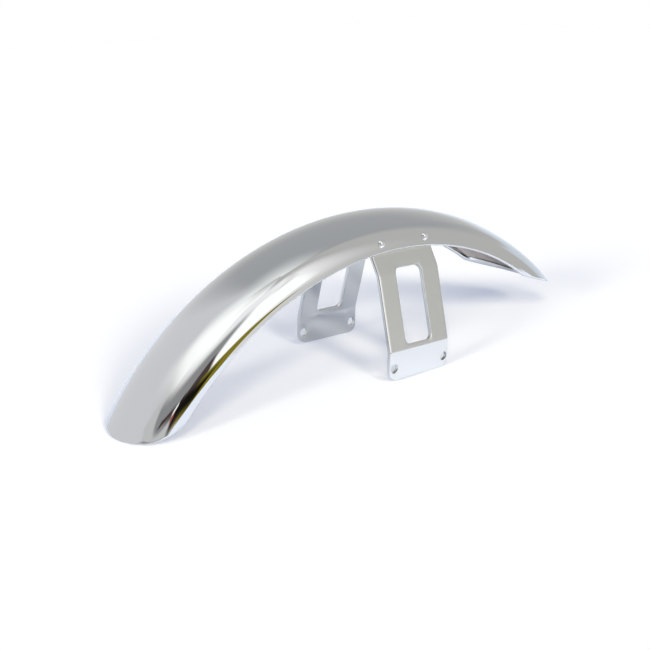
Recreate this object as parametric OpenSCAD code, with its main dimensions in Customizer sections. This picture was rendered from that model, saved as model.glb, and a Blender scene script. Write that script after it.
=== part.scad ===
// Front mudguard for a motorcycle with a narrow front wheel.
// A pressed steel shell with hemmed edges hangs on two bent steel brackets, two rivets a side.
// Lengths are in millimetres. +X is forward, +Y is the rider's left and +Z is up.
// The pieces are drawn about the wheel's axle and then set down with the lowest point at Z = 0.

/* [Wheel arc] */
// Radius of the shell's outer crown line about the axle
crown_line_r = 350; // [330:1:380]
// Angle behind the top at which the crown line ends
rear_crown_angle = 58.75; // [50:0.25:65]
// Angle behind the top at which the side edges end
rear_side_angle = 52.75; // [46:0.25:58]
// Angle ahead of the top at which the crown line ends
front_crown_angle = 46.75; // [40:0.25:55]
// Angle ahead of the top at which the side edges end
front_side_angle = 34.5; // [30:0.25:42]
// Corner radius where the rear end meets the side edges
rear_corner_r = 25; // [10:1:35]
// Corner radius where the front end meets the side edges
front_corner_r = 3; // [2:1:8]

/* [Section] */
// Outside width across the side edges
shell_w = 91; // [84:1:110]
// Depth from the crown line to the side edges
shell_depth = 31; // [28:1:40]
// Outside radius of the section over the crown
crown_r = 80; // [70:1:120]
// Outside radius of the section at the shoulders
shoulder_r = 20; // [16:1:24]
// Thickness of the shell's sheet
sheet_t = 1.5; // [1:0.1:2]
// Width of the hem folded back along every edge
hem_w = 5; // [4:0.5:7]
// Slot left between the hem and the wall
hem_gap = 0.3; // [0.2:0.1:0.5]

/* [Brackets] */
// Thickness of the bracket strip
bracket_t = 4; // [3:0.5:5]
// Width of the bracket strip
bracket_w = 78; // [74:1:90]
// Distance across the outer faces of the two flanges
flange_span = 147; // [140:1:160]
// Distance from the crown line down to the flange's lower edge
bracket_h = 152; // [145:1:160]
// Height of the flange, up to the lower bend
flange_h = 29; // [24:1:38]
// Distance from the shell's side edges down to the bend in the upper leg
leg_bend_drop = 19.5; // [17:0.5:27]
// Lean of the leg between those two bends
leg_lean = 15; // [10:0.5:16]
// Inside radius of the lower bend
flange_bend_r = 5; // [3:1:8]
// Inside radius of the upper bend
leg_bend_r = 16; // [8:1:20]
// Inside radius of the bend that meets the shell
seat_bend_r = 3; // [2:0.5:4]
// Corner radius of the flange
flange_corner_r = 9; // [4:1:11]
// Height of the bracket's seat above the shell's edge
seat_height = 18; // [16:1:20]
// Corner radius of the seat
seat_corner_r = 8; // [4:1:12]
// Width of the window in the leg
window_w = 34; // [24:1:40]
// Distance from the lower bend up the leg to the window's lower edge
window_up = 4.5; // [3:0.5:12]
// Height of the window, measured up the leg
window_h = 75; // [50:0.5:78]
// Corner radius of the window
window_r = 6; // [3:1:10]
// Diameter of the fork bolt holes
bolt_hole_d = 9; // [8.5:0.5:10.5]
// Distance between the fork bolt holes
bolt_spacing = 66; // [58:1:66]
// Height of the fork bolt holes above the flange's lower edge
bolt_up = 12; // [9:1:16]

/* [Rivets] */
// Diameter of the rivet shank
rivet_d = 5; // [4:0.5:6]
// Diameter of the domed head
rivet_head_d = 8; // [7:0.5:10]
// Height of the domed head above its rim
rivet_head_h = 1.8; // [1.2:0.1:3]
// Diameter of the tail formed inside
rivet_tail_d = 8; // [7:0.5:10]
// Height of the tail formed inside, above its rim
rivet_tail_h = 1.4; // [1:0.1:2.5]
// Least height of the straight rim round head and tail
rivet_rim = 0.2; // [0.1:0.1:0.5]
// Distance between the two rivets of one bracket
rivet_spacing = 57; // [48:1:58]
// Height of the rivets above the shell's edge
rivet_up = 10; // [9:0.5:12]

/* [Fits] */
// Clearance between the shell's inside and the bracket's seat
seat_gap = 0.1; // [0.05:0.05:0.3]
// Clearance all round the rivet shank in its holes
shank_gap = 0.1; // [0.05:0.05:0.2]
// Clearance under the rivet's head and tail
rivet_gap = 0.05; // [0.05:0.05:0.2]
// Clearance between the bracket and the hem that is notched for it
notch_gap = 1.5; // [1:0.5:3]

/* [Hidden] */
$fn = 144;
chrome = [0.80, 0.81, 0.83];
plated_steel = [0.70, 0.70, 0.68];
rivet_steel = [0.86, 0.87, 0.88];

// Radii about the axle, and the section's two arc centres
edge_r = crown_line_r - shell_depth;
hem_t = 2 * sheet_t + hem_gap;
shoulder_y = shell_w / 2 - shoulder_r;
shoulder_from = asin(shoulder_y / (crown_r - shoulder_r));
shoulder_line_r = crown_line_r - crown_r + (crown_r - shoulder_r) * cos(shoulder_from);

// Room beyond the solids for the shapes that cut them, and overlap of shapes joined in one piece
beyond = 20;
lap = 0.5;

// Finest angle that a fold of the brackets is drawn with
fold_step = 2;

// Where the set-down model's origin lies, measured from the axle
origin_x = crown_line_r * (sin(front_crown_angle) - sin(rear_crown_angle)) / 2;
origin_z = crown_line_r * cos(rear_crown_angle);

// Point at a radius and an angle from the top, forward positive, in the side view
function on_arc(r, angle) = [r * sin(angle), r * cos(angle)];
function unit(v) = v / norm(v);
function left_of(v) = [-v.y, v.x];
function cross_of(a, b) = a.x * b.y - a.y * b.x;
function turned(v, angle) = [v.x * cos(angle) - v.y * sin(angle), v.x * sin(angle) + v.y * cos(angle)];

// Angle that the shell's wall makes with the upright at a height above the edge
function wall_lean(up) = asin(max(0, edge_r + up - shoulder_line_r) / shoulder_r);

// End cuts in the side view, each from its crown tip to its side corner
front_tip = on_arc(crown_line_r, front_crown_angle);
front_side = on_arc(edge_r, front_side_angle);
rear_tip = on_arc(crown_line_r, -rear_crown_angle);
rear_side = on_arc(edge_r, -rear_side_angle);

// How steeply each cut meets the crown, which sets how far the hem reaches in the side view
front_bite = abs(cross_of(unit(front_side - front_tip), [cos(front_crown_angle), -sin(front_crown_angle)]));
rear_bite = abs(cross_of(unit(rear_side - rear_tip), [cos(rear_crown_angle), sin(rear_crown_angle)]));

// Side view

// Clears the right-hand side of the line from a to b, and a little past both points
module end_cut(a, b) {
    past = 1.5 * beyond;
    translate(a)
        rotate(atan2(b.y - a.y, b.x - a.x))
            translate([-past, -crown_line_r])
                square([norm(b - a) + 2 * past, crown_line_r]);
}

// Takes the corner off between the circle of radius r about the axle and the line a to b.
// The material lies outside the circle and left of the line.
module corner_off(a, b, r, fillet) {
    along = unit(b - a);
    across = left_of(along);
    level = across * a;
    reach = sqrt(pow(r + fillet, 2) - pow(level + fillet, 2));
    side = (along * (a + b) / 2 > 0) ? 1 : -1;
    centre = across * (level + fillet) + along * side * reach;
    corner = across * level + along * side * sqrt(r * r - level * level);
    difference() {
        polygon([centre, centre * r / (r + fillet), corner + (corner - centre) / 4, centre - across * fillet]);
        translate(centre) circle(fillet);
    }
}

// Outline of the mudguard in the side view, drawn in from every edge by inset.
// The inset is measured along the shell's surface, so the end cuts move less at the crown than at the sides.
module side_outline(inset) {
    r = edge_r + inset;
    front_in = left_of(unit(front_tip - front_side));
    rear_in = left_of(unit(rear_side - rear_tip));
    front_a = front_side + front_in * inset;
    front_b = front_tip + front_in * inset * front_bite;
    rear_a = rear_tip + rear_in * inset * rear_bite;
    rear_b = rear_side + rear_in * inset;
    difference() {
        circle(crown_line_r + beyond);
        circle(r);
        end_cut(front_a, front_b);
        end_cut(rear_a, rear_b);
        corner_off(front_a, front_b, r, max(front_corner_r - inset, 0.5));
        corner_off(rear_a, rear_b, r, max(rear_corner_r - inset, 0.5));
    }
}

// Extrudes a side view across the whole width
module across_width() {
    rotate([90, 0, 0])
        linear_extrude(height = shell_w + beyond, center = true)
            children();
}

// Section

// Area under the section's outline, drawn in by inset. X is the radius and Y is across the wheel.
module section_fill(inset) {
    sector_reach = 2 * crown_r;
    translate([crown_line_r - crown_r, 0])
        intersection() {
            circle(crown_r - inset);
            polygon([[0, 0], sector_reach * [cos(shoulder_from), sin(shoulder_from)],
                     2 * sector_reach * [1, 0], sector_reach * [cos(shoulder_from), -sin(shoulder_from)]]);
        }
    for (side = [-1, 1])
        translate([shoulder_line_r, side * shoulder_y])
            circle(shoulder_r - inset);
    translate([edge_r - beyond, inset - shell_w / 2])
        square([shoulder_line_r - edge_r + beyond, shell_w - 2 * inset]);
}

// Band of the section between two insets
module section_band(from, to) {
    difference() {
        section_fill(from);
        section_fill(to);
    }
}

// Everything above the side edges, with the edges rounded as the hem's fold is
module above_edge() {
    reach = shell_depth + beyond;
    translate([edge_r + hem_t / 2, -shell_w])
        square([reach, 2 * shell_w]);
    for (side = [-1, 1])
        translate([edge_r + hem_t / 2, side * (shell_w - hem_t) / 2])
            circle(hem_t / 2);
}

// Turns a section about the axle, over the arc of the shell
module around_axle() {
    margin = 4;
    rotate([90, 0, 0])
        rotate_extrude(start = 90 - front_crown_angle - margin,
                       angle = front_crown_angle + rear_crown_angle + 2 * margin)
            children();
}

// Pieces

// The pressed shell: a wall of the sheet's thickness with a hem folded in along every edge
module mudguard_shell() {
    color(chrome)
        difference() {
            intersection() {
                around_axle()
                    intersection() {
                        section_band(0, hem_t);
                        above_edge();
                    }
                across_width() side_outline(0);
            }
            intersection() {
                around_axle() section_band(sheet_t, hem_t + lap);
                across_width() side_outline(hem_w);
            }
            intersection() {
                around_axle() section_band(sheet_t, sheet_t + hem_gap);
                across_width() side_outline(sheet_t);
            }
            for (side = [-1, 1]) {
                hem_notch(side);
                rivet_holes(side);
            }
        }
}

// Clears the folded-back part of the hem where a bracket's seat lies on the wall
module hem_notch(side) {
    notch_w = bracket_w + 2 * notch_gap;
    notch_y = shell_w / 2 - sheet_t;
    intersection() {
        around_axle()
            intersection() {
                section_band(sheet_t, hem_t + lap);
                translate([edge_r - lap, -shell_w])
                    square([hem_w + 2 * lap, 2 * shell_w]);
            }
        translate([-notch_w / 2, side > 0 ? 0 : -notch_y, 0])
            cube([notch_w, notch_y, 2 * crown_line_r]);
    }
}

// Section of a strip folded along a line of points on its left-hand face, t thick to the right.
// radii holds the inside radius at each fold, and each fold is drawn in steps of at most fold_step.
module folded_strip(points, radii, t) {
    last = len(points) - 1;
    function way(i) = unit(points[i + 1] - points[i]);
    function turn(i) = asin(cross_of(way(i - 1), way(i)));
    function face_r(i) = radii[i - 1] + (turn(i) < 0 ? t : 0);
    function centre(i) =
        points[i] - way(i - 1) * face_r(i) * tan(abs(turn(i)) / 2)
        + left_of(way(i - 1)) * sign(turn(i)) * face_r(i);
    function steps(i) = ceil(abs(turn(i)) / fold_step);
    function face(depth) = [
        points[0] - left_of(way(0)) * depth,
        for (i = [1:last - 1])
            for (k = [0:steps(i)])
                centre(i) - turned(left_of(way(i - 1)), turn(i) * k / steps(i))
                    * (sign(turn(i)) * face_r(i) + depth),
        points[last] - left_of(way(last - 1)) * depth
    ];
    inner = face(t);
    polygon(concat(face(0), [for (i = [len(inner) - 1:-1:0]) inner[i]]));
}

// Rectangle with round corners, centred across, standing on its lower edge
module rounded_panel(w, h, low_r, high_r) {
    for (side = [-1, 1]) {
        translate([side * (w / 2 - low_r), low_r]) circle(low_r);
        translate([side * (w / 2 - high_r), h - high_r]) circle(high_r);
    }
    translate([-w / 2, low_r]) square([w, h - low_r - high_r]);
    translate([low_r - w / 2, 0]) square([w - 2 * low_r, low_r]);
    translate([high_r - w / 2, h - high_r]) square([w - 2 * high_r, high_r]);
}

// Heights of the flange's lower edge and of the two bends above the axle
flange_bottom = crown_line_r - bracket_h;
flange_bend = flange_bottom + flange_h;
leg_bend = edge_r - leg_bend_drop;

// Levels at which the leg turns in under the edge and at which its flat part ends
seat_y = shell_w / 2 - sheet_t - seat_gap;
seat_low = sqrt(pow(edge_r, 2) - pow(bracket_w / 2, 2)) - seat_bend_r * tan(leg_lean);
flat_top = sqrt(pow(shoulder_line_r, 2) - pow(bracket_w / 2, 2)) - lap;
leg_bend_y = flange_span / 2 - (leg_bend - flange_bend) * tan(leg_lean);

// One bracket, on the side of +Y
module bracket() {
    difference() {
        intersection() {
            union() {
                rotate([90, 0, 90])
                    linear_extrude(height = bracket_w, center = true)
                        folded_strip([[seat_y, flat_top], [seat_y, seat_low], [leg_bend_y, leg_bend],
                                      [flange_span / 2, flange_bend], [flange_span / 2, flange_bottom]],
                                     [seat_bend_r, leg_bend_r, flange_bend_r], bracket_t);
                around_axle()
                    intersection() {
                        section_band(sheet_t + seat_gap, sheet_t + seat_gap + bracket_t);
                        translate([flat_top - lap, -shell_w]) square([shell_depth + beyond, shell_w]);
                    }
            }
            rotate([90, 0, 0])
                linear_extrude(height = flange_span + beyond, center = true)
                    translate([0, flange_bottom])
                        rounded_panel(bracket_w, edge_r + seat_height - flange_bottom,
                                      flange_corner_r, seat_corner_r);
        }
        translate([0, flange_span / 2, flange_bend])
            rotate([90 + leg_lean, 0, 0])
                linear_extrude(height = 4 * bracket_t, center = true)
                    translate([0, window_up])
                        rounded_panel(window_w, window_h, window_r, window_r);
        for (end = [-1, 1])
            translate([end * bolt_spacing / 2, flange_span / 2, flange_bottom + bolt_up])
                rotate([90, 0, 0])
                    cylinder(d = bolt_hole_d, h = 3 * bracket_t, center = true);
        rivet_holes(1);
    }
}

module bracket_left() {
    color(plated_steel) bracket();
}

module bracket_right() {
    color(plated_steel) mirror([0, 1, 0]) bracket();
}

// Places its children at the two rivets of one side, with +Z pointing out of the shell
module at_rivets(side) {
    lean = wall_lean(rivet_up);
    rivet_r = edge_r + rivet_up;
    rivet_y = shoulder_y + shoulder_r * cos(lean);
    for (end = [-1, 1])
        rotate([0, end * asin(rivet_spacing / 2 / rivet_r), 0])
            translate([0, side * rivet_y, rivet_r])
                rotate([-side * (90 - lean), 0, 0])
                    children();
}

module rivet_holes(side) {
    at_rivets(side)
        cylinder(d = rivet_d + 2 * shank_gap, h = 4 * (sheet_t + bracket_t), center = true);
}

// Domed disc on a straight rim, which reaches below its base to be cut to a curved surface
module domed_disc(d, h) {
    ball_r = (d * d / 4 + h * h) / (2 * h);
    translate([0, 0, rivet_rim])
        intersection() {
            translate([0, 0, h - ball_r]) sphere(ball_r);
            translate([0, 0, -sheet_t]) cylinder(d = d, h = h + sheet_t + lap);
        }
}

// One rivet: its head is formed to the wall's round outside and its tail to the seat's round inside
module rivet() {
    tail_round_r = shoulder_r - sheet_t - seat_gap - bracket_t - rivet_gap;
    tail_level = shoulder_r - sqrt(pow(tail_round_r, 2) - pow(rivet_tail_d / 2, 2));
    difference() {
        domed_disc(rivet_head_d, rivet_head_h);
        shoulder_round(shoulder_r + rivet_gap);
    }
    translate([0, 0, -tail_level - rivet_rim])
        cylinder(d = rivet_d, h = tail_level + 2 * rivet_rim + lap);
    intersection() {
        translate([0, 0, -tail_level])
            mirror([0, 0, 1]) domed_disc(rivet_tail_d, rivet_tail_h);
        shoulder_round(tail_round_r);
    }
}

// The shoulder's round as a short cylinder under a rivet
module shoulder_round(r) {
    translate([0, 0, -shoulder_r])
        rotate([0, 90, 0])
            cylinder(r = r, h = 2 * (rivet_head_d + rivet_tail_d), center = true);
}

module rivets() {
    color(rivet_steel)
        for (side = [-1, 1])
            at_rivets(side) rivet();
}

module set_down() {
    translate([-origin_x, 0, -origin_z]) children();
}

set_down() mudguard_shell();
set_down() bracket_left();
set_down() bracket_right();
set_down() rivets();
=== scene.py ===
# %% [markdown]
# # A chromed front mudguard
#
# A front mudguard is a slim steel shell that follows the tyre. Two folded brackets hang it between
# the fork legs, and two rivets a side hold shell and brackets together. The lesson loads the packed
# solids as a fixed frame, models each piece again as smooth metal, and lights it on a pale floor.

# %% Load the frame
import math

import bmesh
import bpy
from mathutils import Matrix, Vector


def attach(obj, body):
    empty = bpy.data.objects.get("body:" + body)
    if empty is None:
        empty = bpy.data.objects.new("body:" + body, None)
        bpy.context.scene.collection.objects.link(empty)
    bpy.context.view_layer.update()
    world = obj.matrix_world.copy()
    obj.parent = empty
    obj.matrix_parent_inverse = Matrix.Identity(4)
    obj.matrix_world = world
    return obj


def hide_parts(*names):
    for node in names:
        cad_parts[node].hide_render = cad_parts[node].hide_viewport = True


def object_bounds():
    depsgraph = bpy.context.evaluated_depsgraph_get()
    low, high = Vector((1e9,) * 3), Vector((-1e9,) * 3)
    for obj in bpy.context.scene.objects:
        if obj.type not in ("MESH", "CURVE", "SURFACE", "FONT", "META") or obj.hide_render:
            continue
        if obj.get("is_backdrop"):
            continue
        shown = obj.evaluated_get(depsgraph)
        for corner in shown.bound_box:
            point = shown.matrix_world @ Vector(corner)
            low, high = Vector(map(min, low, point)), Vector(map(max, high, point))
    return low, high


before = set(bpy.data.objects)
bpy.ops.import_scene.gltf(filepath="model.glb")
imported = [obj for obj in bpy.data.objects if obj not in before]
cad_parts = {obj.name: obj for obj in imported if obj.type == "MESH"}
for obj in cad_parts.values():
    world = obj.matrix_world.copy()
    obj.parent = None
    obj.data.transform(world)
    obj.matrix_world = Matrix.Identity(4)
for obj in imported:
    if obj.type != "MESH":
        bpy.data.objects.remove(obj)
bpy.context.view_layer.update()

# %% [markdown]
# ## The camera
#
# The camera stands behind the mudguard's right side and a little above it. It was found by matching
# the corners, holes and outline of the part to where they lie in the picture, so its numbers are
# measured ones. They are given from the wheel's axle, the centre of the shell's arc. The frame's
# origin lies halfway between the two tips, at the height of the rear one, which places the axle.

# %% Find the wheel's axle
mm = 0.001
crown_line_r = 350 * mm
front_crown, front_side = math.radians(46.75), math.radians(34.5)
rear_crown, rear_side = math.radians(58.75), math.radians(52.75)
axle = Vector((
    -crown_line_r * (math.sin(front_crown) - math.sin(rear_crown)) / 2,
    0,
    -crown_line_r * math.cos(rear_crown),
))
print("Axle at", [round(v, 4) for v in axle])

# %% Place the camera
camera_from_axle = Vector((-700.1, -788.8, 562.5)) * mm
camera_yaw, camera_pitch, camera_roll = math.radians(39.04), math.radians(17.56), math.radians(0.70)
camera_lens = 59.36

camera_data = bpy.data.cameras.new("camera")
camera_data.lens = camera_lens
camera_data.sensor_width = 36
camera_data.clip_end = 50
camera = bpy.data.objects.new("camera", camera_data)
bpy.context.scene.collection.objects.link(camera)
camera.matrix_world = (
    Matrix.Translation(axle + camera_from_axle)
    @ Matrix.Rotation(-camera_yaw, 4, "Z")
    @ Matrix.Rotation(math.pi / 2 - camera_pitch, 4, "X")
    @ Matrix.Rotation(camera_roll, 4, "Z")
)
bpy.context.scene.camera = camera
print("Camera at", [round(v, 4) for v in camera.location])

# %% [markdown]
# ## Helpers for modelling
#
# Every operator acts on what is selected, so a piece is started with nothing else selected, and
# faces or edges are picked in code by where they lie. Modifiers are applied as soon as they are set.

# %% Selection and modifiers
def in_object_mode():
    if bpy.context.object and bpy.context.object.mode != "OBJECT":
        bpy.ops.object.mode_set(mode="OBJECT")


def work_on(piece):
    in_object_mode()
    bpy.ops.object.select_all(action="DESELECT")
    piece.select_set(True)
    bpy.context.view_layer.objects.active = piece


def apply_modifier(piece, kind, **settings):
    work_on(piece)
    modifier = piece.modifiers.new(kind.title(), kind)
    for name, value in settings.items():
        setattr(modifier, name, value)
    bpy.ops.object.modifier_apply(modifier=modifier.name)


def cut_with(piece, cutter, solver="EXACT"):
    apply_modifier(piece, "BOOLEAN", operation="DIFFERENCE", object=cutter, solver=solver)
    bpy.data.objects.remove(cutter)


def triangles(piece):
    return sum(len(face.vertices) - 2 for face in piece.data.polygons)


def settle(piece, angle=math.radians(40)):
    """Puts the piece's place into its mesh and keeps edges sharper than the angle."""
    work_on(piece)
    bpy.ops.object.transform_apply(location=True, rotation=True, scale=True)
    bpy.ops.object.shade_smooth_by_angle(angle=angle)
    print(piece.name, "has", triangles(piece), "triangles")

# %% [markdown]
# ## The shell's section
#
# A press gives the sheet its section: upright skirts, round shoulders and a flatter crown. It could
# be drawn as a curve and converted, but a point that is drawn up the skirt and spun about each arc's
# centre in turn, as with a compass, gives true arcs with steps of a known size. It stops short of
# each edge by half the hem's thickness, because the fold itself takes up the rest.

# %% Draw the section
shell_w = 91 * mm
shell_depth = 31 * mm
crown_r = 80 * mm
shoulder_r = 20 * mm
sheet_t = 1.5 * mm
hem_w = 5 * mm
hem_gap = 0.3 * mm
hem_t = 2 * sheet_t + hem_gap
fold_r = hem_t / 2
edge_r = crown_line_r - shell_depth

shoulder_y = shell_w / 2 - shoulder_r
shoulder_from = math.asin(shoulder_y / (crown_r - shoulder_r))
shoulder_line_r = crown_line_r - crown_r + (crown_r - shoulder_r) * math.cos(shoulder_from)

skirt_steps, shoulder_steps, crown_steps = 5, 20, 28


def start_point(name, place):
    in_object_mode()
    bpy.ops.object.select_all(action="DESELECT")
    bpy.ops.mesh.primitive_plane_add(size=mm, location=(0, 0, 0))
    piece = bpy.context.object
    piece.name = piece.data.name = name
    bpy.ops.object.mode_set(mode="EDIT")
    bpy.ops.mesh.merge(type="CENTER")
    bpy.ops.transform.translate(value=place)
    return piece


def spin_on(centre, axis, angle, steps):
    bpy.ops.mesh.spin(steps=steps, angle=angle, center=centre, axis=axis)


def draw_up(move, steps):
    for _ in range(steps):
        bpy.ops.mesh.extrude_region_move(TRANSFORM_OT_translate={"value": move / steps})


shell = start_point("mudguard_shell_finish", axle + Vector((0, -shell_w / 2, edge_r + fold_r)))
skirt_h = shoulder_line_r - edge_r - fold_r
along_x = Vector((1, 0, 0))
draw_up(Vector((0, 0, skirt_h)), skirt_steps)
shoulder_angle = math.pi / 2 - shoulder_from
spin_on(axle + Vector((0, -shoulder_y, shoulder_line_r)), along_x, shoulder_angle, shoulder_steps)
spin_on(axle + Vector((0, 0, crown_line_r - crown_r)), along_x, 2 * shoulder_from, crown_steps)
spin_on(axle + Vector((0, shoulder_y, shoulder_line_r)), along_x, shoulder_angle, shoulder_steps)
draw_up(Vector((0, 0, -skirt_h)), skirt_steps)
bpy.ops.object.mode_set(mode="OBJECT")
section_points = [v.co - axle for v in shell.data.vertices]
print("Section:", len(section_points), "points, width",
      round((max(p.y for p in section_points) - min(p.y for p in section_points)) / mm, 2), "mm")

# %% [markdown]
# ## The shell turned about the axle
#
# The section is spun about the wheel's axle into the whole arc. Both ends of the real shell are cut
# straight in the side view, with round corners. A boolean could cut them, but would leave slivers in
# the mirror, so each row of points is slid round the axle until its ends lie on those cuts. The rows
# stay on the same round surface, so the metal keeps its smooth sweep.

# %% Where the ends are cut
front_corner_r, rear_corner_r, least_corner_r = 3 * mm, 25 * mm, 0.5 * mm


def on_arc(r, angle):
    return Vector((r * math.sin(angle), r * math.cos(angle)))


class EndCut:
    """One end of the shell in the side view, x forward and y up from the axle."""

    def __init__(self, sign, crown_angle, side_angle, corner_r):
        self.sign = sign
        tip = on_arc(crown_line_r, sign * crown_angle)
        side = on_arc(edge_r, sign * side_angle)
        along = (tip - side).normalized()
        tangent = Vector((math.cos(crown_angle), -sign * math.sin(crown_angle)))
        self.inward = Vector((along.y, -along.x)) * (-1 if sign > 0 else 1)
        bite = abs(along.cross(tangent))
        self.side = side + self.inward * fold_r
        self.tip = tip + self.inward * fold_r * bite
        self.along = (self.tip - self.side).normalized()
        self.inward = Vector((self.along.y, -self.along.x)) * (-1 if sign > 0 else 1)
        self.corner_r = max(corner_r - fold_r, least_corner_r)
        level = self.inward.dot(self.side) + self.corner_r
        lowest = edge_r + fold_r + self.corner_r
        self.centre = self.inward * level + self.along * self.find_along(lowest, level)

    def find_along(self, r, level):
        """Distance along the cut's direction of the point at radius r that is nearest the side corner."""
        reach = math.sqrt(r * r - level * level)
        return reach if self.along.dot(self.side) > 0 else -reach

    def angle_at(self, r):
        """Angle about the axle at which a row of radius r ends."""
        level = self.inward.dot(self.side)
        point = self.inward * level + self.along * self.find_along(r, level)
        if self.in_corner(point):
            c = self.centre.length
            cosine = (r * r + c * c - self.corner_r ** 2) / (2 * r * c)
            spread = math.acos(max(-1, min(1, cosine)))
            return math.atan2(self.centre.x, self.centre.y) + self.sign * spread
        return math.atan2(point.x, point.y)

    def in_corner(self, view):
        return (view - self.centre).dot(self.along) < 0

    def inward_at(self, view):
        return (self.centre - view).normalized() if self.in_corner(view) else self.inward


front_end = EndCut(1, front_crown, front_side, front_corner_r)
rear_end = EndCut(-1, rear_crown, rear_side, rear_corner_r)
for name, end in (("front", front_end), ("rear", rear_end)):
    for row_r in (edge_r + fold_r, shoulder_line_r, crown_line_r):
        angle = round(math.degrees(end.angle_at(row_r)), 2)
        print(name, "end lies at", angle, "degrees on the row of radius", round(row_r / mm, 2), "mm")

# %% Spin the section and slide the rows to the cuts
# The spin's own angle doesn't matter, since each row is then spread between its two ends.
arc_steps = 260
arc_angle = 1.0
work_on(shell)
bpy.ops.object.mode_set(mode="EDIT")
bpy.ops.mesh.select_all(action="SELECT")
spin_on(axle, Vector((0, 1, 0)), arc_angle, arc_steps)
bpy.ops.object.mode_set(mode="OBJECT")
for vertex in shell.data.vertices:
    x, y, z = vertex.co - axle
    r, share = math.hypot(x, z), abs(math.atan2(x, z)) / arc_angle
    first, last = rear_end.angle_at(r), front_end.angle_at(r)
    angle = first + (last - first) * share
    vertex.co = axle + Vector((r * math.sin(angle), y, r * math.cos(angle)))
print("Shell sheet:", len(shell.data.vertices), "points")

# %% [markdown]
# ## The hem
#
# The raw edge is folded back inside, all the way round, which makes it stiff and safe to touch. A
# separate strip could be laid along it, but the real hem is the same sheet. So the free edge is
# extruded step by step, round the fold and then along the inside. Each step moves every point by its
# own two directions: down through the metal, and in from the edge.

# %% Directions along the free edge
def surface_normal(place):
    """Outward normal of the shell's round surface, worked out from the arcs of its section."""
    x, y, z = place - axle
    r = math.hypot(x, z)
    if r < shoulder_line_r:
        across, up = math.copysign(1, y), 0
    elif abs(y) < crown_r * math.sin(shoulder_from):
        across, up = y, r - crown_line_r + crown_r
    else:
        across, up = y - math.copysign(shoulder_y, y), r - shoulder_line_r
    return Vector((up * x / r, across, up * z / r)).normalized()


def depth_in_wall(place):
    """How far a point lies under the shell's outer surface."""
    x, y, z = place - axle
    r = math.hypot(x, z)
    if r < shoulder_line_r:
        return shell_w / 2 - abs(y)
    if abs(y) < math.tan(shoulder_from) * (r - crown_line_r + crown_r):
        return crown_r - math.hypot(y, r - crown_line_r + crown_r)
    return shoulder_r - math.hypot(abs(y) - shoulder_y, r - shoulder_line_r)


# From this square of its y on, a normal counts as level, and its point as on the upright skirt.
level_normal = 0.999
# The way in counts as facing the cut at least this much, so that no point leans far.
least_facing = 0.5
# Only points this near a small corner's centre are drawn back. There they keep this share of their
# distances, so that no two of them fall together.
corner_reach = 4 * hem_w
kept_spread = 0.05


class EdgePoint:
    """A point on the free edge, with the metal's outward normal and the way in from the edge."""

    def __init__(self, place, before, after):
        self.place = place
        self.normal = surface_normal(place)
        self.inward = self.normal.cross(after - before).normalized()
        self.end = front_end if place.x > 0 else rear_end
        side_view = Vector((place.x - axle.x, place.z - axle.z))
        self.lean = 0
        if side_view.length > shoulder_line_r:
            cut_view = self.end.inward_at(side_view)
            cut_in = Vector((cut_view.x, 0, cut_view.y))
            self.lean = self.normal.dot(cut_in) / max(least_facing, self.inward.dot(cut_in))

    def moved(self, depth, inset):
        point = self.place - self.normal * depth + self.inward * (inset + depth * self.lean)
        if inset > 0 and self.normal.y ** 2 > level_normal:
            point = self.clear_of_edges(point, inset)
        return point

    def clear_of_edges(self, point, inset):
        """Near a corner, draws a point of the folded part back to stay parallel to both edges."""
        view = Vector((self.place.x - axle.x, self.place.z - axle.z))
        level = self.end.inward.dot(view) - self.end.inward.dot(self.end.side)
        r = view.length
        if (view - self.end.centre).length > corner_reach or self.end.corner_r > hem_w:
            return point
        low_r = edge_r + fold_r
        level = max(level, inset + kept_spread * level)
        r = max(r, low_r + inset + kept_spread * (r - low_r))
        wanted = self.end.inward.dot(self.end.side) + level
        view = self.end.inward * wanted + self.end.along * self.end.find_along(r, wanted)
        return Vector((axle.x + view.x, point.y, axle.z + view.y))


def free_edge_points(piece):
    """Walks round the piece's free edge and returns its points in order, the metal on their left."""
    mesh = bmesh.new()
    mesh.from_mesh(piece.data)
    edge = next(e for e in mesh.edges if e.is_boundary)
    first, vertex = edge.verts[0], edge.verts[1]
    places = [first.co.copy()]
    while vertex != first:
        places.append(vertex.co.copy())
        edge = next(e for e in vertex.link_edges if e.is_boundary and e != edge)
        vertex = edge.other_vert(vertex)
    mesh.free()
    k = min(range(len(places)), key=lambda i: abs(places[i].x - axle.x))
    if surface_normal(places[k]).cross(places[k + 1] - places[k]).z < 0:
        places.reverse()
    neighbours = zip(places[-1:] + places[:-1], places, places[1:] + places[:1])
    return [EdgePoint(place, before, after) for before, place, after in neighbours]


def rounded(place):
    """A place to a ten-thousandth of a millimetre, by which a mesh point is found again."""
    return tuple(round(c, 7) for c in place)


free_edge = free_edge_points(shell)
print("Free edge:", len(free_edge), "points")

# %% Roll the edge inwards
fold_steps, return_steps = 6, 3
fold_turns = [math.pi * k / fold_steps for k in range(1, fold_steps + 1)]
rings = [(fold_r * (1 - math.cos(turn)), -fold_r * math.sin(turn)) for turn in fold_turns]
rings += [(hem_t, (hem_w - fold_r) * k / return_steps) for k in range(1, return_steps + 1)]

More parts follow.
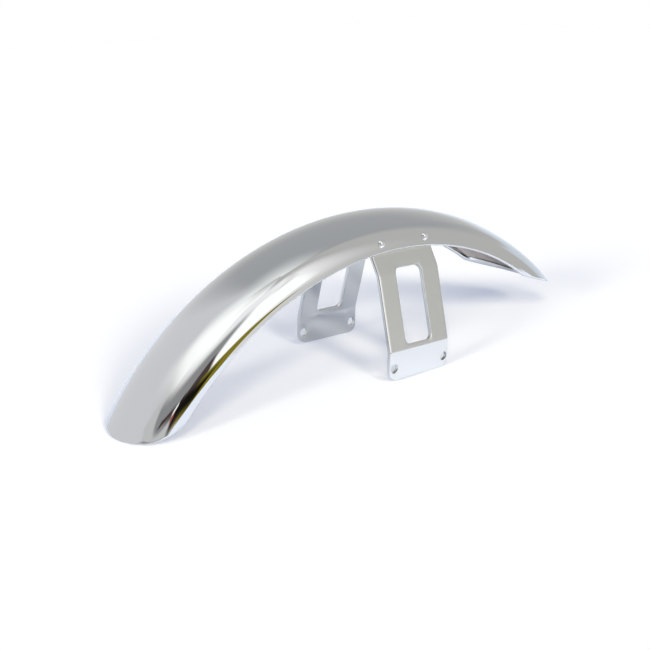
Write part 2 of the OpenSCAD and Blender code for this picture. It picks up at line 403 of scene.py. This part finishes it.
work_on(shell)
bpy.ops.object.mode_set(mode="EDIT")
bpy.ops.mesh.select_mode(type="VERT")
bpy.ops.mesh.select_all(action="DESELECT")
bpy.ops.mesh.select_non_manifold()
where = {rounded(point.place): point for point in free_edge}
for depth, inset in rings:
    bpy.ops.mesh.extrude_edges_move()
    mesh = bmesh.from_edit_mesh(shell.data)
    now = {}
    for vertex in (v for v in mesh.verts if v.select):
        point = where[rounded(vertex.co)]
        vertex.co = point.moved(depth, inset)
        now[rounded(vertex.co)] = point
    where = now
    bmesh.update_edit_mesh(shell.data)
bpy.ops.mesh.select_all(action="SELECT")
bpy.ops.mesh.normals_make_consistent(inside=False)
bpy.ops.object.mode_set(mode="OBJECT")
crown_top = axle + Vector((0, 0, crown_line_r))
top_face = min(shell.data.polygons, key=lambda face: (face.center - crown_top).length)
if top_face.normal.z < 0:
    shell.data.flip_normals()
print("Hem:", len(rings), "rows of", len(where), "points")

# %% [markdown]
# ## Thickness, notches and holes
#
# The sheet could be drawn with both its faces, but a modifier that thickens it inwards keeps the wall
# even round the fold. The folded part of the hem is then cut away where a bracket will lie on the
# wall, and the rivet holes are drilled. Booleans suit these few sharp cuts, which no light runs over.

# %% Thicken the sheet
bracket_w = 78 * mm
notch_gap = 1.5 * mm
rivet_d = 5 * mm
shank_gap = 0.1 * mm
rivet_spacing = 57 * mm
rivet_up = 10 * mm
# A notch reaches past the hem above and below, and stops just short of the wall it leaves standing.
notch_above_hem, notch_below_edge, notch_off_wall = 0.5 * mm, 10 * mm, 0.02 * mm
drill_l, hole_sides = 24 * mm, 48

apply_modifier(shell, "SOLIDIFY", thickness=sheet_t, offset=-1)
print("Thick sheet:", len(shell.data.vertices), "points")


def block(name, low, high):
    in_object_mode()
    bpy.ops.object.select_all(action="DESELECT")
    bpy.ops.mesh.primitive_cube_add(size=1, location=axle + (low + high) / 2)
    piece = bpy.context.object
    piece.name = name
    piece.scale = high - low
    bpy.ops.object.transform_apply(location=True, rotation=False, scale=True)
    return piece


# %% Cut the notches and drill the rivet holes
def rivet_places():
    """Matrices that put a rivet's own +Z on the wall's outward normal, two for each side."""
    up_round = edge_r + rivet_up - shoulder_line_r
    wall_lean = math.asin(max(0, up_round) / shoulder_r)
    rivet_r = edge_r + rivet_up
    out = shoulder_y + shoulder_r * math.cos(wall_lean)
    return [
        Matrix.Translation(axle)
        @ Matrix.Rotation(end * math.asin(rivet_spacing / 2 / rivet_r), 4, "Y")
        @ Matrix.Translation((0, side * out, rivet_r))
        @ Matrix.Rotation(-side * (math.pi / 2 - wall_lean), 4, "X")
        for side in (-1, 1) for end in (-1, 1)
    ]


def drill_rivet_holes(piece, sides, solver="EXACT"):
    for side, place in zip((-1, -1, 1, 1), rivet_places()):
        if side in sides:
            bpy.ops.object.select_all(action="DESELECT")
            bpy.ops.mesh.primitive_cylinder_add(vertices=hole_sides, radius=rivet_d / 2 + shank_gap,
                                                depth=drill_l)
            drill = bpy.context.object
            drill.matrix_world = place
            cut_with(piece, drill, solver)


notch_x = bracket_w / 2 + notch_gap
notch_y = shell_w / 2 - sheet_t - notch_off_wall
notch_low, notch_high = edge_r - notch_below_edge, edge_r + hem_w + notch_above_hem
for side in (-1, 1):
    near_y, far_y = sorted((side * shell_w / 4, side * notch_y))
    low, high = Vector((-notch_x, near_y, notch_low)), Vector((notch_x, far_y, notch_high))
    cut_with(shell, block("notch", low, high), "MANIFOLD")
drill_rivet_holes(shell, (-1, 1), "MANIFOLD")
settle(shell)

# %% [markdown]
# ## The brackets
#
# Each bracket starts as a flat plate with its window and bolt holes stamped out and its edges broken.
# The plate is then ruled into fine rows and pressed to shape: a flange, a leaning leg, and a seat
# that follows the inside of the shell's wall round the shoulder. It could be extruded from its folded
# side view instead, but a plate that is pressed last keeps its window and holes as true as the real
# stamping does. Blender's bend needs a window, so a short formula moves each point. The second bracket
# is a mirrored copy.

# %% Sizes of the bracket
bracket_t = 4 * mm
flange_span = 147 * mm
bracket_h, flange_h, leg_bend_drop = 152 * mm, 29 * mm, 19.5 * mm
leg_lean = math.radians(15)
flange_bend_r, leg_bend_r, seat_bend_r = 5 * mm, 16 * mm, 3 * mm
flange_corner_r, seat_corner_r = 9 * mm, 8 * mm
seat_height, seat_gap = 18 * mm, 0.1 * mm
window_w, window_h, window_up, window_r = 34 * mm, 75 * mm, 4.5 * mm, 6 * mm
bolt_hole_d, bolt_spacing, bolt_up = 9 * mm, 66 * mm, 12 * mm
edge_round = 0.35 * mm
fold_bend_steps, corner_steps, bolt_hole_sides = 6, 10, 64

flange_bottom = crown_line_r - bracket_h
flange_bend = flange_bottom + flange_h
leg_bend = edge_r - leg_bend_drop
seat_y = shell_w / 2 - sheet_t - seat_gap
seat_low = math.sqrt(edge_r ** 2 - (bracket_w / 2) ** 2) - seat_bend_r * math.tan(leg_lean)
leg_bend_y = flange_span / 2 - (leg_bend - flange_bend) * math.tan(leg_lean)
seat_top = edge_r + seat_height
print("Bracket from", round(flange_bottom / mm, 2), "to", round(seat_top / mm, 2), "mm above the axle")


# %% Fold a strip in the side view
def folded_face(corners, radii, t, steps):
    """The outer face of a strip folded at its corners: points and outward normals, y across and z up."""
    line = [(corners[0], None)]
    for i in range(1, len(corners) - 1):
        into = (corners[i] - corners[i - 1]).normalized()
        out = (corners[i + 1] - corners[i]).normalized()
        turn = math.asin(into.cross(out))
        left = Vector((-into.y, into.x))
        face_r = radii[i - 1] + (t if turn < 0 else 0)
        side = math.copysign(1, turn)
        centre = corners[i] - into * face_r * math.tan(abs(turn) / 2) + left * side * face_r
        for k in range(steps + 1):
            c, s = math.cos(turn * k / steps), math.sin(turn * k / steps)
            normal = Vector((left.x * c - left.y * s, left.x * s + left.y * c))
            line.append((centre - normal * side * face_r, normal))
    line.append((corners[-1], line[-1][1]))
    line[0] = (line[0][0], line[1][1])
    return line


strip = folded_face(
    [Vector(p) for p in ((seat_y, seat_top), (seat_y, seat_low), (leg_bend_y, leg_bend),
                         (flange_span / 2, flange_bend), (flange_span / 2, flange_bottom - mm))],
    [seat_bend_r, leg_bend_r, flange_bend_r], bracket_t, fold_bend_steps)
print("Folded strip:", len(strip), "points")


def strip_at(z):
    """The folded strip's outer face and its normal at a height above the axle."""
    for (a, normal_a), (b, normal_b) in zip(strip, strip[1:]):
        if a.y >= z >= b.y:
            share = (a.y - z) / (a.y - b.y) if a.y > b.y else 0
            return a.lerp(b, share), normal_a.lerp(normal_b, share).normalized()
    return strip[0]


def pressed(x, depth, z):
    """Where a point of the flat plate goes when it is pressed: depth is how far it lies under the face."""
    r = math.hypot(x, z)
    if r > shoulder_line_r:
        seat_r = shoulder_r - sheet_t - seat_gap
        up = r - shoulder_line_r
        normal = Vector((up * x / r, math.sqrt(seat_r ** 2 - up ** 2), up * z / r)).normalized()
        return Vector((x, shoulder_y + math.sqrt(seat_r ** 2 - up ** 2), z)) - normal * depth
    face, normal = strip_at(z)
    return Vector((x, face.x - normal.x * depth, face.y - normal.y * depth))


# %% Stamp the plate
tolerance = 1e-6


def round_edges_along_y(piece, radius_low, radius_high, middle_z):
    """Rounds the four corners of a block in the side view."""
    for radius, is_low in ((radius_low, True), (radius_high, False)):
        work_on(piece)
        bpy.ops.object.mode_set(mode="EDIT")
        bpy.ops.mesh.select_mode(type="EDGE")
        bpy.ops.mesh.select_all(action="DESELECT")
        mesh = bmesh.from_edit_mesh(piece.data)
        for edge in mesh.edges:
            a, b = (v.co for v in edge.verts)
            runs_along_y = abs(a.x - b.x) < tolerance and abs(a.z - b.z) < tolerance
            edge.select_set(runs_along_y and (a.z - axle.z < middle_z) == is_low)
        bmesh.update_edit_mesh(piece.data)
        bpy.ops.mesh.bevel(offset=radius, segments=corner_steps, affect="EDGES")
        bpy.ops.object.mode_set(mode="OBJECT")


def plate(name, width, low_z, high_z, low_r, high_r, thick=(-bracket_t, 0)):
    piece = block(name, Vector((-width / 2, thick[0], low_z)), Vector((width / 2, thick[1], high_z)))
    round_edges_along_y(piece, low_r, high_r, (low_z + high_z) / 2)
    return piece


bracket_left = plate("bracket_left_finish", bracket_w, flange_bottom, seat_top,
                     flange_corner_r, seat_corner_r)
window_low = flange_bend + window_up * math.cos(leg_lean)
window_high = window_low + window_h * math.cos(leg_lean)
cut_with(bracket_left, plate("window", window_w, window_low, window_high, window_r, window_r,
                             (-3 * bracket_t, 2 * bracket_t)))
for end in (-1, 1):
    place = axle + Vector((end * bolt_spacing / 2, 0, flange_bottom + bolt_up))
    bpy.ops.mesh.primitive_cylinder_add(vertices=bolt_hole_sides, radius=bolt_hole_d / 2,
                                        depth=5 * bracket_t, location=place,
                                        rotation=(math.pi / 2, 0, 0))
    cut_with(bracket_left, bpy.context.object)
apply_modifier(bracket_left, "BEVEL", width=edge_round, segments=2, limit_method="ANGLE",
               angle_limit=math.radians(60))
print("Plate:", len(bracket_left.data.vertices), "points")

# %% Rule the plate
seat_row_pitch, seat_rows = 1.5 * mm, 11
column_pitch, columns_a_side = 3 * mm, 12

work_on(bracket_left)
bpy.ops.object.mode_set(mode="EDIT")
bpy.ops.mesh.select_mode(type="VERT")
rows = sorted({round(p.y, 5) for p, _ in strip if flange_bottom < p.y < seat_top})
rows += [seat_top - k * seat_row_pitch for k in range(1, seat_rows + 1)]
columns = [k * column_pitch for k in range(-columns_a_side, columns_a_side + 1)]
cuts = [(Vector((0, 0, z)), Vector((0, 0, 1))) for z in rows]
cuts += [(Vector((x, 0, 0)), Vector((1, 0, 0))) for x in columns]
for place, normal in cuts:
    bpy.ops.mesh.select_all(action="SELECT")
    bpy.ops.mesh.bisect(plane_co=axle + place, plane_no=normal)
bpy.ops.object.mode_set(mode="OBJECT")
print("Ruled plate:", len(rows), "rows and", len(columns), "columns")

# %% Press the plate and mirror it
for vertex in bracket_left.data.vertices:
    x, y, z = vertex.co - axle
    vertex.co = axle + pressed(x, -y, z)
drill_rivet_holes(bracket_left, (1,))

work_on(bracket_left)
bpy.ops.object.duplicate()
bracket_right = bpy.context.object
bracket_right.name = bracket_right.data.name = "bracket_right_finish"
bpy.ops.transform.mirror(constraint_axis=(False, True, False), center_override=(0, 0, 0))
bpy.ops.object.transform_apply(location=True, rotation=True, scale=True)
for bracket in (bracket_left, bracket_right):
    work_on(bracket)
    bpy.ops.object.mode_set(mode="EDIT")
    bpy.ops.mesh.select_all(action="SELECT")
    bpy.ops.mesh.normals_make_consistent(inside=False)
    bpy.ops.object.mode_set(mode="OBJECT")
    settle(bracket, math.radians(30))

# %% [markdown]
# ## The rivets
#
# A rivet is one line spun round: a domed head on a low rim, the shank, and a flatter tail. A squashed
# sphere on a cylinder could stand for it, but one spun line closes it without a seam. The two faces
# that bear on metal are then bent to the roundness of the shoulder, and four copies are placed.

# %% Spin one rivet
rivet_head_d, rivet_head_h = 8 * mm, 1.8 * mm
rivet_tail_d, rivet_tail_h = 8 * mm, 1.4 * mm
rivet_rim, rivet_gap = 0.2 * mm, 0.05 * mm
head_round = shoulder_r + rivet_gap
tail_round = shoulder_r - sheet_t - seat_gap - bracket_t - rivet_gap
tail_level = shoulder_r - math.sqrt(tail_round ** 2 - (rivet_tail_d / 2) ** 2)
head_steps, tail_steps, rivet_sides = 10, 6, 48
weld_distance, level_tolerance = 0.002 * mm, 1e-7


def dome(d, h, steps):
    """Points down a round cap, from its top to its rim, as distance from the axis and height."""
    ball_r = (d * d / 4 + h * h) / (2 * h)
    reach = math.asin(d / 2 / ball_r)
    return [(ball_r * math.sin(reach * k / steps), h - ball_r * (1 - math.cos(reach * k / steps)))
            for k in range(steps + 1)]


head = [(r, z + rivet_rim) for r, z in dome(rivet_head_d, rivet_head_h, head_steps)]
tail_dome = dome(rivet_tail_d, rivet_tail_h, tail_steps)
tail = [(r, -tail_level - rivet_rim - z) for r, z in reversed(tail_dome)]
bearing = [(rivet_head_d / 2, 0), (rivet_d / 2, 0)]
bearing += [(rivet_d / 2, -tail_level), (rivet_tail_d / 2, -tail_level)]
profile = head + bearing + tail

rivets = start_point("rivets_finish", (profile[0][0], 0, profile[0][1]))
for (r0, z0), (r1, z1) in zip(profile, profile[1:]):
    bpy.ops.mesh.extrude_region_move(TRANSFORM_OT_translate={"value": (r1 - r0, 0, z1 - z0)})
bpy.ops.mesh.select_all(action="SELECT")
spin_on((0, 0, 0), Vector((0, 0, 1)), 2 * math.pi, rivet_sides)
bpy.ops.mesh.select_all(action="SELECT")
bpy.ops.mesh.remove_doubles(threshold=weld_distance)
bpy.ops.mesh.normals_make_consistent(inside=False)
bpy.ops.object.mode_set(mode="OBJECT")
for vertex in rivets.data.vertices:
    for level, bearing_r in ((0, head_round), (-tail_level, tail_round)):
        if abs(vertex.co.z - level) < level_tolerance:
            vertex.co.z = math.sqrt(bearing_r ** 2 - vertex.co.y ** 2) - shoulder_r
print("Rivet:", len(rivets.data.vertices), "points")

# %% Place the four rivets
copies = []
for place in rivet_places():
    work_on(rivets)
    bpy.ops.object.duplicate()
    bpy.context.object.matrix_world = place
    copies.append(bpy.context.object)
bpy.data.objects.remove(rivets)
work_on(copies[0])
for copy in copies:
    copy.select_set(True)
bpy.ops.object.join()
rivets = bpy.context.object
rivets.name = rivets.data.name = "rivets_finish"
settle(rivets, math.radians(35))

# %% [markdown]
# ## Materials
#
# Chrome is a bare metal: its colour is the share of light that it returns, about half. What it shows
# comes from its surroundings. One value could set how sharp the mirror is, but polish is never that
# even, so faint noise varies it. Every colour is written as on a screen, and one function turns it
# into linear light.

# %% Nodes and colours
def linear(hex_colour):
    parts = [int(hex_colour[i:i + 2], 16) / 255 for i in (1, 3, 5)]
    return tuple(p / 12.92 if p <= 0.04045 else ((p + 0.055) / 1.055) ** 2.4 for p in parts) + (1,)


def add_node(tree, kind, inputs=None, **settings):
    """Adds a node; inputs maps a socket's name or number to a value or to another node's output."""
    node = tree.nodes.new("ShaderNode" + kind)
    for name, value in settings.items():
        setattr(node, name, value)
    for socket, value in (inputs or {}).items():
        if isinstance(value, bpy.types.NodeSocket):
            tree.links.new(value, node.inputs[socket])
        else:
            node.inputs[socket].default_value = value
    return node


def blank_tree(owner):
    owner.use_nodes = True
    owner.node_tree.nodes.clear()
    return owner.node_tree


# %% Build a metal
# Polishing leaves lines some 0.05 mm apart, too fine to show here, so they are drawn ten to twenty
# times as coarse: each finish gives their length, and they are a seventh as wide across the part.
# The clouds are as wide as a stroke of the polishing wheel, and the swell is what pressing leaves.
cloud_w, swell_w = 38 * mm, 70 * mm
line_squeeze = 7
# The product of lines and clouds lies between these two values nearly everywhere.
spread_low, spread_high = 0.12, 0.42


def metal(name, colour, smooth, rough, line_l, waves):
    """A metal whose lines and clouds take its roughness from smooth to rough; waves is its swell."""
    material = bpy.data.materials.new(name)
    tree = blank_tree(material)
    place = add_node(tree, "TexCoord").outputs["Object"]
    cloud = add_node(tree, "TexNoise", {
        "Vector": place, "Scale": 1 / cloud_w, "Detail": 4, "Roughness": 0.6})
    stretch = add_node(tree, "Mapping", {"Vector": place, "Scale": (1, line_squeeze, 1)})
    lines = add_node(tree, "TexNoise", {
        "Vector": stretch.outputs[0], "Scale": 1 / line_l, "Detail": 3})
    both = add_node(tree, "Math", {0: cloud.outputs[0], 1: lines.outputs[0]}, operation="MULTIPLY")
    spread = add_node(tree, "MapRange", {
        "Value": both.outputs[0], "From Min": spread_low, "From Max": spread_high,
        "To Min": smooth, "To Max": rough})
    swell = add_node(tree, "TexNoise", {"Vector": place, "Scale": 1 / swell_w, "Detail": 1})
    bump = add_node(tree, "Bump", {"Height": swell.outputs[0], "Strength": waves, "Distance": mm})
    surface = add_node(tree, "BsdfPrincipled", {
        "Base Color": linear(colour), "Metallic": 1, "Roughness": spread.outputs[0],
        "Normal": bump.outputs[0]})
    add_node(tree, "OutputMaterial", {"Surface": surface.outputs[0]})
    return material


# %% [markdown]
# ## Four finishes
#
# The shell's outside is polished and then chromed. Its inside meets the same bath unpolished, and its
# darker tone there is painted shade. The brackets are plated as they leave the press, and the rivets'
# heads are pressed smooth by the tool that sets them. All four are the same kind of bare metal, so one
# function makes them, and they differ in tone, in roughness and in the width of their marks.

# %% Make and give the finishes
finishes = {
    # Polished chrome: a sharp mirror, to which the room gives all its darks and lights.
    "chromed_shell": metal("polished_chrome", "#C3C4C4", 0.005, 0.03, 4 * mm, 0.01),
    # Chrome on unpolished steel, with no clear reflection. Its darker brownish grey is painted shade
    # for the dim light inside the shell.
    "inside": metal("unpolished_chrome_painted_shade", "#A39A93", 0.22, 0.40, 8 * mm, 0.10),
    # Plated steel as pressed: a pale grey that shows the room's large tones, blurred.
    "plated_bracket": metal("plated_steel", "#C6C6C4", 0.16, 0.26, 3 * mm, 0.08),
    # Steel pressed smooth: a small bright spot with a soft rim.
    "rivet": metal("bright_rivet_steel", "#CDCECE", 0.06, 0.12, 3 * mm, 0.04),
}
for piece, slot in ((shell, "chromed_shell"), (bracket_left, "plated_bracket"),
                    (bracket_right, "plated_bracket"), (rivets, "rivet")):
    piece.data.materials.clear()
    piece.data.materials.append(finishes[slot])

# %% Paint shade on the shell's inside
# A face of the inside looks inwards and lies one sheet's thickness under the outer surface.
facing_in, depth_tolerance = -0.5, 0.3 * mm

shell.data.materials.append(finishes["inside"])
for face in shell.data.polygons:
    looks_in = surface_normal(face.center).dot(face.normal) < facing_in
    on_inside = abs(depth_in_wall(face.center) - sheet_t) < depth_tolerance
    if looks_in and on_inside:
        face.material_index = 1
print("Inside faces:", sum(face.material_index for face in shell.data.polygons))

# %% [markdown]
# ## Handing the pieces over
#
# The frame's solids are the part as it is built. Every new piece rides with the part and takes the
# place of its solid, so that the picture shows each piece only once.

# %% Ride and replace
for piece, node in ((shell, "mudguard_shell"), (bracket_left, "bracket_left"),
                    (bracket_right, "bracket_right"), (rivets, "rivets")):
    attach(piece, "root")
    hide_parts(node)
    print(piece.name, "takes the place of", node)

# %% [markdown]
# ## The floor
#
# The mudguard stands on the rear end of its crown and on the front corners of its brackets, so in the
# frame the floor leans a little. A plain white plane would do for the camera, but not for the chrome:
# what that mirrors is a table that ends not far from the part. It is painted brighter in front of the
# part, a painted light, and dimmer under and behind it, a painted shade. So the floor's material asks
# what kind of ray meets it. The camera sees white paint that takes shadows and glows a little, which
# keeps them pale and blue, and a mirror sees the table.

# %% Lay the floor
rear_tip_z = crown_line_r * math.cos(rear_crown)
rear_foot = axle + Vector((-crown_line_r * math.sin(rear_crown), 0, rear_tip_z))
front_foot = axle + Vector((bracket_w / 2 - flange_corner_r, 0, flange_bottom))
floor_lean = math.atan2(front_foot.z - rear_foot.z, front_foot.x - rear_foot.x)
floor_drop = 0.4 * mm
floor_w = 8000 * mm

in_object_mode()
bpy.ops.object.select_all(action="DESELECT")
bpy.ops.mesh.primitive_plane_add(size=floor_w, location=rear_foot - Vector((0, 0, floor_drop)),
                                 rotation=(0, -floor_lean, 0))
floor = bpy.context.object
floor.name = "floor"
floor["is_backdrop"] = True
print("The floor leans by", round(math.degrees(floor_lean), 2), "degrees")

# %% Paint the floor
# The mirrored table ends at table_front, and both its borders are soft. In front of the part, up to the
# second line, it is painted brighter, a painted light; under and behind the part it is dimmer, a painted
# shade.
table_front, table_painted_light_to, table_edge = -180 * mm, -60 * mm, 20 * mm
neutral_white, cool_white, warm_white, sky_blue = "#F8F9FB", "#F7FAFC", "#FFF8E4", "#CCDDFF"

floor_look = bpy.data.materials.new("white_floor")
tree = blank_tree(floor_look)
rays = add_node(tree, "LightPath").outputs
place = add_node(tree, "SeparateXYZ", {0: add_node(tree, "TexCoord").outputs["Object"]}).outputs


def part_lit(returned, glowing, tone):
    """Pale paint that returns a share of the light on it, and glows by itself as well."""
    unlit = add_node(tree, "Emission", {"Strength": 0}).outputs[0]
    full = add_node(tree, "BsdfDiffuse", {"Color": linear(tone)}).outputs[0]
    paint = add_node(tree, "MixShader", {0: returned, 1: unlit, 2: full}).outputs[0]
    glow = add_node(tree, "Emission", {"Color": linear(sky_blue), "Strength": glowing}).outputs[0]
    return add_node(tree, "AddShader", {0: paint, 1: glow}).outputs[0]


def step_up(y):
    """Zero in front of a line across the floor and one behind it."""
    return add_node(tree, "MapRange", {
        "Value": place["Y"], "From Min": y - table_edge, "From Max": y}).outputs[0]


to_camera = part_lit(0.78, 0.42, warm_white)
to_the_rest = part_lit(1, 0, neutral_white)
# Behind the line the table stays dimmer, a painted shade under the part; in front of the line a second
# coat that returns light is added, a painted light.
table_behind = part_lit(1, 0.25, cool_white)
table_painted_light_front = add_node(tree, "AddShader", {
    0: table_behind, 1: part_lit(0.4, 0, cool_white)}).outputs[0]
nothing = add_node(tree, "BsdfTransparent").outputs[0]

table = add_node(tree, "MixShader", {
    0: step_up(table_painted_light_to), 1: table_painted_light_front, 2: table_behind}).outputs[0]
to_mirrors = add_node(tree, "MixShader", {0: step_up(table_front), 1: nothing, 2: table}).outputs[0]
lit = add_node(tree, "MixShader", {
    0: rays["Is Camera Ray"], 1: to_the_rest, 2: to_camera}).outputs[0]
shown = add_node(tree, "MixShader", {0: rays["Is Glossy Ray"], 1: lit, 2: to_mirrors}).outputs[0]
add_node(tree, "OutputMaterial", {"Surface": shown})
floor.data.materials.append(floor_look)
print("Floor material:", len(tree.nodes), "nodes")

# %% [markdown]
# ## The studio
#
# Polished metal has hardly a look of its own: it shows the room. Planes and lamps could be stood round
# the part, but a world that only mirrors see paints the same room with no noise and in no time, as
# soft-edged boxes in the sky over pale grey walls. Each box has the compass angle and height at which
# the shell mirrors it to the place where the picture shows it: a ceiling and large soft boxes overhead
# give the broad bands along the crown, an upright box gives the white flash down the near side, and a
# few dark things beside the camera give the black streaks below it. What each thing was is a guess.
# All angles are in degrees, from the part, with 0 straight ahead of it and 90 on its left. The tones
# are few, as in a real studio, and each is the colour that the chrome shows for it.

# %% Choose the tones of the room
white, off_white, pale, paper, sill = "#FFFFFF", "#E8EAEA", "#C4C5C9", "#C0C7D0", "#BABABA"
walls, ceiling_grey, shade = "#AEAEAC", "#9A9C9E", "#868688"
dark, black, olive, rust = "#463C39", "#161410", "#7C7224", "#8A4A42"


# %% Describe the room
class SoftBox:
    """A soft-edged rectangle in the sky: where it is, half its size, its turn, its edge, its tone."""

    def __init__(self, compass, height, half_w, half_h, turn, edge, tone):
        self.centre, self.size = (compass, height, 0), (half_w, half_h, 1)
        self.turn, self.edge, self.colour = math.radians(turn), edge, linear(tone)


room = {
    "ceiling": SoftBox(0, 90, 400, 13, -10, 10, off_white),
    "ceiling_ahead": SoftBox(50, 50, 70, 30, -5, 30, ceiling_grey),
    "left_wall": SoftBox(130, 10, 45, 45, -30, 20, pale),
    "backdrop": SoftBox(45, -10, 30, 15, -15, 10, paper),
    "backdrop_end": SoftBox(5, -5, 20, 20, 10, 5, paper),
    "large_soft_box": SoftBox(-160, 65, 55, 17, 0, 25, white),
    "small_soft_box": SoftBox(-105, 60, 25, 10, 0, 10, off_white),
    "upright_box": SoftBox(-80, 20, 13, 23, 17, 4, white),
    "glow_beside_upright_box": SoftBox(-67, 10, 5, 55, 8, 30, white),
    "glow_above_upright_box": SoftBox(-90, 40, 7, 10, 0, 10, white),
    "shaded_wall": SoftBox(-140, 28, 45, 14, 0, 10, shade),
    "pale_sill": SoftBox(-145, 20, 50, 5, -17, 3, sill),
    "brown_stand": SoftBox(-98, 13, 12, 7, -55, 2, dark),
    "yellow_sheet": SoftBox(-75, -5, 20, 5, -30, 2, olive),
    "dark_shelf": SoftBox(-90, 4, 20, 3, -35, 4, black),
    "brown_shelf": SoftBox(-118, 21, 13, 2, -23, 4, dark),
    "black_cable": SoftBox(-107, 14, 10, 2, -55, 2, black),
    "black_rail": SoftBox(-137, 27, 9, 1.5, -10, 1, dark),
    "red_strap": SoftBox(-112, 16, 7, 1, -45, 1, rust),
    "gleam": SoftBox(-115, 20, 3, 1.5, -45, 1, off_white),
    "table_foot": SoftBox(-70, -60, 20, 40, -10, 2, white),
}
print("Boxes in the room:", len(room))

# %% [markdown]
# ## The painted room
#
# The world's nodes turn the way a mirrored ray goes into a compass angle and a height. Each box is a
# patch of its tone laid over what is there so far, strongest inside its edges. Chrome gives back only
# a little over half of what it mirrors, and the tones are those it shows, so the room is painted
# brighter by as much. The floor is lit by a plain, faintly blue sky, and the camera sees pure white.

# %% Turn a ray into degrees
chrome_return = 0.55
sky_tone, sky_strength = "#E6EAFF", 0.33

world = bpy.data.worlds.new("studio")
bpy.context.scene.world = world
tree = blank_tree(world)
away = add_node(tree, "SeparateXYZ", {0: add_node(tree, "TexCoord").outputs["Generated"]}).outputs
compass = add_node(tree, "Math", {0: away["Y"], 1: away["X"]}, operation="ARCTAN2").outputs[0]
height = add_node(tree, "Math", {0: away["Z"]}, operation="ARCSINE").outputs[0]
angles = add_node(tree, "CombineXYZ", {"X": compass, "Y": height}).outputs[0]
degrees = add_node(tree, "VectorMath", {0: angles, "Scale": math.degrees(1)},
                   operation="SCALE").outputs[0]

# %% Lay the boxes over the walls
# A box's distance round the compass is wrapped past 180 degrees, and its height never gets that far.
wrap_from, wrap_to = (180, 400, 1), (-180, -400, -1)


def share_inside(box):
    """One inside the box and zero outside it, with a soft edge between the two."""
    off = add_node(tree, "VectorMath", {0: degrees, 1: box.centre}, operation="SUBTRACT")
    off = add_node(tree, "VectorMath", {0: off.outputs[0], 1: wrap_from, 2: wrap_to}, operation="WRAP")
    off = add_node(tree, "Mapping", {"Vector": off.outputs[0], "Rotation": (0, 0, box.turn)},
                   vector_type="TEXTURE")
    off = add_node(tree, "VectorMath", {0: off.outputs[0]}, operation="ABSOLUTE")
    inner = [size - box.edge / 2 for size in box.size]
    outer = [size + box.edge / 2 for size in box.size]
    # This node's vector sockets have the names of its number sockets, so they go by number.
    share = add_node(tree, "MapRange", {
        6: off.outputs[0], 7: outer, 8: inner, 9: (0, 0, 0), 10: (1, 1, 1)},
        data_type="FLOAT_VECTOR", interpolation_type="SMOOTHSTEP")
    both = add_node(tree, "SeparateXYZ", {0: share.outputs[1]}).outputs
    return add_node(tree, "Math", {0: both["X"], 1: both["Y"]}, operation="MULTIPLY").outputs[0]


walls_node = add_node(tree, "RGB")
walls_node.outputs[0].default_value = linear(walls)
colour = walls_node.outputs[0]
for box in room.values():
    colour = add_node(tree, "MixRGB", {
        "Fac": share_inside(box), "Color1": colour, "Color2": box.colour}).outputs[0]
print("World:", len(tree.nodes), "nodes")

# %% Show the room to mirrors only
rays = add_node(tree, "LightPath").outputs
sky = add_node(tree, "Background", {"Color": linear(sky_tone), "Strength": sky_strength}).outputs[0]
painted = add_node(tree, "Background", {"Color": colour, "Strength": 1 / chrome_return}).outputs[0]
backing = add_node(tree, "Background", {"Color": linear(white), "Strength": 1}).outputs[0]
lit = add_node(tree, "MixShader", {0: rays["Is Glossy Ray"], 1: sky, 2: painted}).outputs[0]
shown = add_node(tree, "MixShader", {0: rays["Is Camera Ray"], 1: lit, 2: backing}).outputs[0]
add_node(tree, "OutputWorld", {"Surface": shown})

# %% [markdown]
# ## The lamps
#
# The picture's floor shows soft shadows to the left of the part and ahead of it, cast by broad lamps
# on its right and behind it. Area lamps could do it, but suns keep the light even over the floor.
# Each spans as much of the sky as a soft box does, and its compass angle and height are those from
# which the shadows fall. Mirrors don't see the lamps, because the painted room already holds what
# the chrome shows.

# %% Hang three broad lamps
lamp_width = math.radians(14)


class Lamp:
    """A broad lamp far off: its strength, its compass angle and its height, both in degrees."""

    def __init__(self, strength, compass, height):
        self.strength = strength
        self.turned = (0, math.radians(90 - height), math.radians(compass))


lamps = {
    "side_lamp": Lamp(1.9, -98, 27),
    "near_lamp": Lamp(1.35, -136, 32),
    "rear_lamp": Lamp(1.8, -171, 17),
}
for name, lamp in lamps.items():
    lamp_data = bpy.data.lights.new(name, "SUN")
    lamp_data.energy = lamp.strength
    lamp_data.angle = lamp_width
    lamp_object = bpy.data.objects.new(name, lamp_data)
    bpy.context.scene.collection.objects.link(lamp_object)
    lamp_object.rotation_euler = lamp.turned
    lamp_object.visible_glossy = False
print("Lamps:", ", ".join(lamps))

# %% [markdown]
# ## The picture's tones
#
# A filmic transform would grey the white table and the white flash on the chrome. The standard one
# shows every colour as it is written above.

# %% Show colours as they are
bpy.context.scene.view_settings.view_transform = "Standard"

# %% [markdown]
# ## The finished size
#
# The box round the finished pieces is measured and printed. The finished one may not reach past the
# other by more than a hair.

# %% Measure the finished pieces
low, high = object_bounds()
print("Finished box:", [round(v, 4) for v in (*low, *high)])
